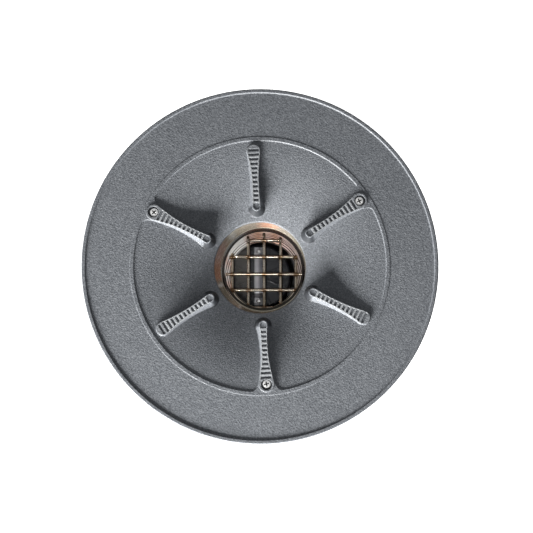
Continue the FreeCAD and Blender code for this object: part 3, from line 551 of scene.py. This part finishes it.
def ring_bead(name, radius, thick, z, cx, mat, body, wobble=0.0, segs=220, around=10):
    """A thin rolled bead that runs right round."""
    verts, faces = [], []
    for i in range(segs):
        a = 2 * math.pi * i / segs
        rr = radius + wobble * math.sin(5 * a) + wobble * 0.6 * math.sin(11 * a + 1.0)
        for k in range(around):
            t = 2 * math.pi * k / around
            verts.append((cx + (rr + thick * math.cos(t)) * math.cos(a), (rr + thick * math.cos(t)) * math.sin(a), z + thick * math.sin(t)))
    for i in range(segs):
        for k in range(around):
            p, q = i * around + k, ((i + 1) % segs) * around + k
            p2, q2 = i * around + (k + 1) % around, ((i + 1) % segs) * around + (k + 1) % around
            faces.append((p, q, q2, p2))
    o = mesh_object(name, verts, faces, mat)
    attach(o, body)
    return o


def lip_metal():
    m = Mat("lip_bead")
    turn, r, z = m.azimuth(AXIS_X)
    tone = m.noise(90.0, 3.0, 0.6)
    # bronze tint with a painted highlight: lighter round one side of the bead, darker round the rest
    col = m.ramp(turn, [(0.0, (0.30, 0.27, 0.21)), (0.2, (0.46, 0.40, 0.31)), (0.36, (0.80, 0.75, 0.64)), (0.5, (0.62, 0.54, 0.42)), (0.7, (0.44, 0.39, 0.30)), (1.0, (0.30, 0.27, 0.21))])
    col = m.mix(m.maprange(tone, 0.45, 0.7, 0.0, 0.4), col, (0.20, 0.16, 0.12))
    m.set(color=col, metal=0.5, rough=m.maprange(tone, 0.3, 0.7, 0.22, 0.36), normal=m.bump(tone, 0.08, 0.0001))
    return m


weld_mat = weld_metal()
crossing_welds(weld_mat)
wall_welds(weld_mat)
ring_bead("funnel_lip_bead", 0.0424, 0.00038, -0.0024, AXIS_X, lip_metal(), "drain", 0.00003)
ring_bead("sump_mould_line", 0.0531, 0.00022, -0.0600, 0.0, body_mat, "drain", 0.00002)

# ------------------------------------------------------------------ stage, light, camera
def stage_floor():
    m = Mat("studio_white")
    tone = m.noise(3.0, 2.0, 0.5)
    m.set(color=m.ramp(tone, [(0.3, (0.80, 0.80, 0.80)), (0.7, (0.83, 0.83, 0.83))]), rough=0.9, spec=0.1)
    m.b.inputs["Emission Color"].default_value = (1.0, 1.0, 1.0, 1.0)
    m.b.inputs["Emission Strength"].default_value = 0.9
    s, z = 3.0, -0.158
    o = mesh_object("studio_floor", [(-s, -s, z), (s, -s, z), (s, s, z), (-s, s, z)], [(0, 1, 2, 3)], m, False)
    return o


stage_floor()


def area(name, az, dist, height, size, power, colour=(1, 1, 1), aim=(0, 0, FLOOR), size_y=None):
    d = bpy.data.lights.new(name, "AREA")
    d.shape = "RECTANGLE"
    d.size = size
    d.size_y = size_y or size
    d.energy = power
    d.color = colour
    o = bpy.data.objects.new(name, d)
    a = math.radians(az)
    o.location = (math.cos(a) * dist, math.sin(a) * dist, FLOOR + height)
    o.rotation_mode = "QUATERNION"
    o.rotation_quaternion = (Vector(aim) - o.location).to_track_quat("-Z", "Y")
    bpy.context.scene.collection.objects.link(o)
    return o


area("key", 241, 1.45, 0.278, 1.10, 110.0, (1.0, 0.995, 0.98), size_y=0.44)

# a narrow spot from nearly overhead reaches down into the throat
sd = bpy.data.lights.new("throat_spot", "SPOT")
sd.energy = 26.0
sd.spot_size = math.radians(3.7)
sd.spot_blend = 0.25
sd.shadow_soft_size = 0.03
so = bpy.data.objects.new("throat_spot", sd)
target = Vector((AXIS_X, 0.0, 0.0))
az, el = math.radians(250.0), math.radians(77.0)
so.location = target + Vector((math.cos(az) * math.cos(el), math.sin(az) * math.cos(el), math.sin(el))) * 1.35
so.rotation_mode = "QUATERNION"
so.rotation_quaternion = (target - so.location).to_track_quat("-Z", "Y")
bpy.context.scene.collection.objects.link(so)

world = bpy.data.worlds.new("studio")
bpy.context.scene.world = world
world.use_nodes = True
bg = world.node_tree.nodes["Background"]
bg.inputs["Color"].default_value = (0.95, 0.97, 1.0, 1.0)
bg.inputs["Strength"].default_value = 0.21

cam = bpy.data.cameras.new("camera")
cam.lens = 104.1
cam.sensor_width = 36.0
cam.clip_start = 0.05
cam.shift_x = -0.0188
cam.shift_y = 0.2523
cam_o = bpy.data.objects.new("camera", cam)
bpy.context.scene.collection.objects.link(cam_o)
cam_o.location = (math.tan(math.radians(0.62)) * 1.5, -math.tan(math.radians(8.08)) * 1.5, 1.5 + 0.027)
cam_o.rotation_euler = (math.radians(3.06), 0.0, 0.0)
bpy.context.scene.camera = cam_o

vs = bpy.context.scene.view_settings
vs.view_transform = "Standard"
vs.look = "None"
vs.exposure = 0.0
